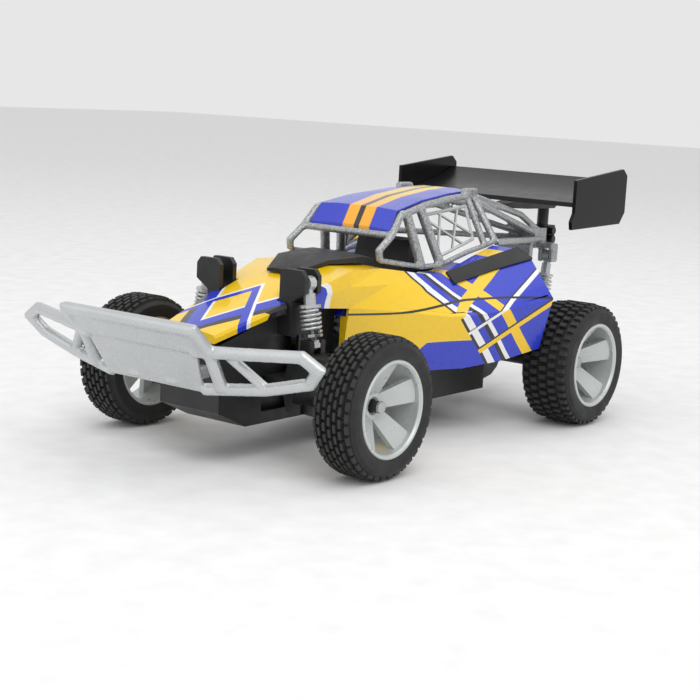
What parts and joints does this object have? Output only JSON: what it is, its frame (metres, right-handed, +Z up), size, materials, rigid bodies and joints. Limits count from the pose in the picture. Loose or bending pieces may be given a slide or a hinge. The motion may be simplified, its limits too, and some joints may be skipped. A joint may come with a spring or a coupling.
{
  "type": "remote control car",
  "caption": "Desert buggy toy with roll cage, rear wing and tube bumper, steered front wheels, sprung front and rear axles and a driven rear axle.",
  "frame": {"origin": "on the ground, at the middle of the overall length and width", "axes": "+X forwards, +Y to the vehicle's left, +Z up"},
  "size_m": [0.3755, 0.1984, 0.144],
  "materials": {
    "black_plastic": "satin",
    "wing_black": "gloss",
    "tyre_rubber": "matte",
    "silver_plastic": "satin metallic",
    "painted_body": "gloss",
    "roof_print": "gloss",
    "steel": "brushed",
    "green_board": "matte",
    "white_nylon": "matte"
  },
  "bodies": {
    "chassis": {"chassis_tub": "black_plastic", "body_shell": "painted_body", "rear_deck_left": "black_plastic", "rear_deck_right": "black_plastic", "dash_cowl": "black_plastic", "cockpit_tub": "black_plastic", "roof_panel": "roof_print", "cage_frame": "silver_plastic", "window_net_left": "silver_plastic", "window_net_right": "silver_plastic", "rear_brace": "silver_plastic", "wing_bracket": "black_plastic", "wing_blade": "wing_black", "wing_end_plate_left": "black_plastic", "wing_end_plate_right": "black_plastic", "front_bumper": "silver_plastic", "front_tower_left": "black_plastic", "front_tower_right": "black_plastic", "steering_motor": "black_plastic", "battery_pack": "green_board", "circuit_board": "green_board"},
    "steering_rack": {"steering_rack": "white_nylon"},
    "steering_horn": {"steering_horn": "white_nylon"},
    "front_arm_left": {"front_arm_left": "black_plastic"},
    "knuckle_left": {"knuckle_left": "black_plastic", "front_wheel_screw_left": "steel"},
    "front_wheel_left": {"front_tyre_left": "tyre_rubber", "front_rim_left": "silver_plastic"},
    "steering_link_left": {"steering_link_left": "black_plastic"},
    "front_damper_left": {"front_damper_left": "silver_plastic", "front_spring_left": "silver_plastic"},
    "front_damper_rod_left": {"front_damper_rod_left": "steel"},
    "front_arm_right": {"front_arm_right": "black_plastic"},
    "knuckle_right": {"knuckle_right": "black_plastic", "front_wheel_screw_right": "steel"},
    "front_wheel_right": {"front_tyre_right": "tyre_rubber", "front_rim_right": "silver_plastic"},
    "steering_link_right": {"steering_link_right": "black_plastic"},
    "front_damper_right": {"front_damper_right": "silver_plastic", "front_spring_right": "silver_plastic"},
    "front_damper_rod_right": {"front_damper_rod_right": "steel"},
    "gearbox": {"gearbox_case": "black_plastic", "drive_motor": "steel"},
    "rear_axle": {"rear_axle": "steel", "axle_gear": "white_nylon", "rear_tyre_left": "tyre_rubber", "rear_rim_left": "silver_plastic", "rear_wheel_screw_left": "steel", "rear_tyre_right": "tyre_rubber", "rear_rim_right": "silver_plastic", "rear_wheel_screw_right": "steel"},
    "motor_pinion": {"motor_pinion": "steel"},
    "rear_damper_left": {"rear_damper_left": "silver_plastic", "rear_spring_left": "silver_plastic"},
    "rear_damper_rod_left": {"rear_damper_rod_left": "steel"},
    "rear_damper_right": {"rear_damper_right": "silver_plastic", "rear_spring_right": "silver_plastic"},
    "rear_damper_rod_right": {"rear_damper_rod_right": "steel"},
    "battery_door": {"battery_door": "black_plastic"},
    "power_switch": {"power_switch": "black_plastic"}
  },
  "joints": [
    {"name": "front_arm_left", "type": "hinge", "parent": "chassis", "child": "front_arm_left", "pos_m": [0.0975, 0.016, 0.038], "axis": [1, 0, 0], "range_deg": [0, 8], "stiffness_Nm_per_rad": 0.8, "springref_deg": -11.46},
    {"name": "steer_left", "type": "hinge", "parent": "front_arm_left", "child": "knuckle_left", "pos_m": [0.0975, 0.057, 0.04], "axis": [0, 0, 1], "range_deg": [-22, 22]},
    {"name": "front_wheel_left", "type": "hinge", "parent": "knuckle_left", "child": "front_wheel_left", "pos_m": [0.0975, 0.079, 0.035], "axis": [0, 1, 0], "continuous": true},
    {"name": "link_slide_left", "type": "slide", "parent": "front_arm_left", "child": "steering_link_left", "axis": [0, 1, 0], "range_m": [-0.0069, 0.0069]},
    {"name": "front_damper_left", "type": "hinge", "parent": "chassis", "child": "front_damper_left", "pos_m": [0.095, 0.033, 0.0885], "axis": [1, 0, 0], "range_deg": [-6, 0]},
    {"name": "front_damper_slide_left", "type": "slide", "parent": "front_damper_left", "child": "front_damper_rod_left", "axis": [0, -0.1483, 0.9889], "range_m": [0, 0.0032], "deforming": ["front_spring_left"]},
    {"name": "front_arm_right", "type": "hinge", "parent": "chassis", "child": "front_arm_right", "pos_m": [0.0975, -0.016, 0.038], "axis": [-1, 0, 0], "range_deg": [0, 8], "stiffness_Nm_per_rad": 0.8, "springref_deg": -11.46},
    {"name": "steer_right", "type": "hinge", "parent": "front_arm_right", "child": "knuckle_right", "pos_m": [0.0975, -0.057, 0.04], "axis": [0, 0, 1], "range_deg": [-22, 22]},
    {"name": "front_wheel_right", "type": "hinge", "parent": "knuckle_right", "child": "front_wheel_right", "pos_m": [0.0975, -0.079, 0.035], "axis": [0, 1, 0], "continuous": true},
    {"name": "link_slide_right", "type": "slide", "parent": "front_arm_right", "child": "steering_link_right", "axis": [0, 1, 0], "range_m": [-0.0069, 0.0069]},
    {"name": "front_damper_right", "type": "hinge", "parent": "chassis", "child": "front_damper_right", "pos_m": [0.095, -0.033, 0.0885], "axis": [-1, 0, 0], "range_deg": [-6, 0]},
    {"name": "front_damper_slide_right", "type": "slide", "parent": "front_damper_right", "child": "front_damper_rod_right", "axis": [0, 0.1483, 0.9889], "range_m": [0, 0.0032], "deforming": ["front_spring_right"]},
    {"name": "rack_slide", "type": "slide", "parent": "chassis", "child": "steering_rack", "axis": [0, 1, 0], "range_m": [-0.0069, 0.0069]},
    {"name": "horn_turn", "type": "hinge", "parent": "chassis", "child": "steering_horn", "pos_m": [0.0625, 0, 0.035], "axis": [0, 0, 1], "range_deg": [-23, 23]},
    {"name": "rear_swing", "type": "hinge", "parent": "chassis", "child": "gearbox", "pos_m": [-0.068, 0, 0.032], "axis": [0, 1, 0], "range_deg": [0, 4], "stiffness_Nm_per_rad": 2, "springref_deg": -5.73},
    {"name": "rear_axle_spin", "type": "hinge", "parent": "gearbox", "child": "rear_axle", "pos_m": [-0.0975, 0, 0.035], "axis": [0, 1, 0], "continuous": true},
    {"name": "pinion_spin", "type": "hinge", "parent": "gearbox", "child": "motor_pinion", "pos_m": [-0.1179, 0, 0.035], "axis": [0, 1, 0], "continuous": true},
    {"name": "rear_damper_left", "type": "hinge", "parent": "chassis", "child": "rear_damper_left", "pos_m": [-0.17, 0.0115, 0.086], "axis": [0, 1, 0], "range_deg": [-6.5, 0]},
    {"name": "rear_damper_slide_left", "type": "slide", "parent": "rear_damper_left", "child": "rear_damper_rod_left", "axis": [-0.1544, 0, 0.988], "range_m": [0, 0.0064], "deforming": ["rear_spring_left"]},
    {"name": "rear_damper_right", "type": "hinge", "parent": "chassis", "child": "rear_damper_right", "pos_m": [-0.17, -0.0115, 0.086], "axis": [0, 1, 0], "range_deg": [-6.5, 0]},
    {"name": "rear_damper_slide_right", "type": "slide", "parent": "rear_damper_right", "child": "rear_damper_rod_right", "axis": [-0.1544, 0, 0.988], "range_m": [0, 0.0064], "deforming": ["rear_spring_right"]},
    {"name": "battery_door", "type": "hinge", "parent": "chassis", "child": "battery_door", "pos_m": [0, -0.0194, 0.0181], "axis": [-1, 0, 0], "range_deg": [0, 100]},
    {"name": "power_switch", "type": "slide", "parent": "chassis", "child": "power_switch", "axis": [0, 1, 0], "range_m": [0, 0.0022]}
  ],
  "couplings": [
    {"joint": "link_slide_left", "follows": "steer_left", "m_per_rad": -0.0175},
    {"joint": "front_damper_left", "follows": "front_arm_left", "ratio": -0.685},
    {"joint": "front_damper_slide_left", "follows": "front_arm_left", "m_per_rad": 0.02206},
    {"joint": "link_slide_right", "follows": "steer_left", "m_per_rad": -0.0175},
    {"joint": "front_damper_right", "follows": "front_arm_right", "ratio": -0.685},
    {"joint": "front_damper_slide_right", "follows": "front_arm_right", "m_per_rad": 0.02206},
    {"joint": "steer_right", "follows": "steer_left", "ratio": 1},
    {"joint": "rack_slide", "follows": "steer_left", "m_per_rad": -0.0175},
    {"joint": "horn_turn", "follows": "steer_left", "ratio": -1.0294},
    {"joint": "pinion_spin", "follows": "rear_axle_spin", "ratio": -3.25},
    {"joint": "rear_damper_left", "follows": "rear_swing", "ratio": -1.527},
    {"joint": "rear_damper_slide_left", "follows": "rear_swing", "m_per_rad": 0.0889},
    {"joint": "rear_damper_right", "follows": "rear_swing", "ratio": -1.527},
    {"joint": "rear_damper_slide_right", "follows": "rear_swing", "m_per_rad": 0.0889}
  ]
}
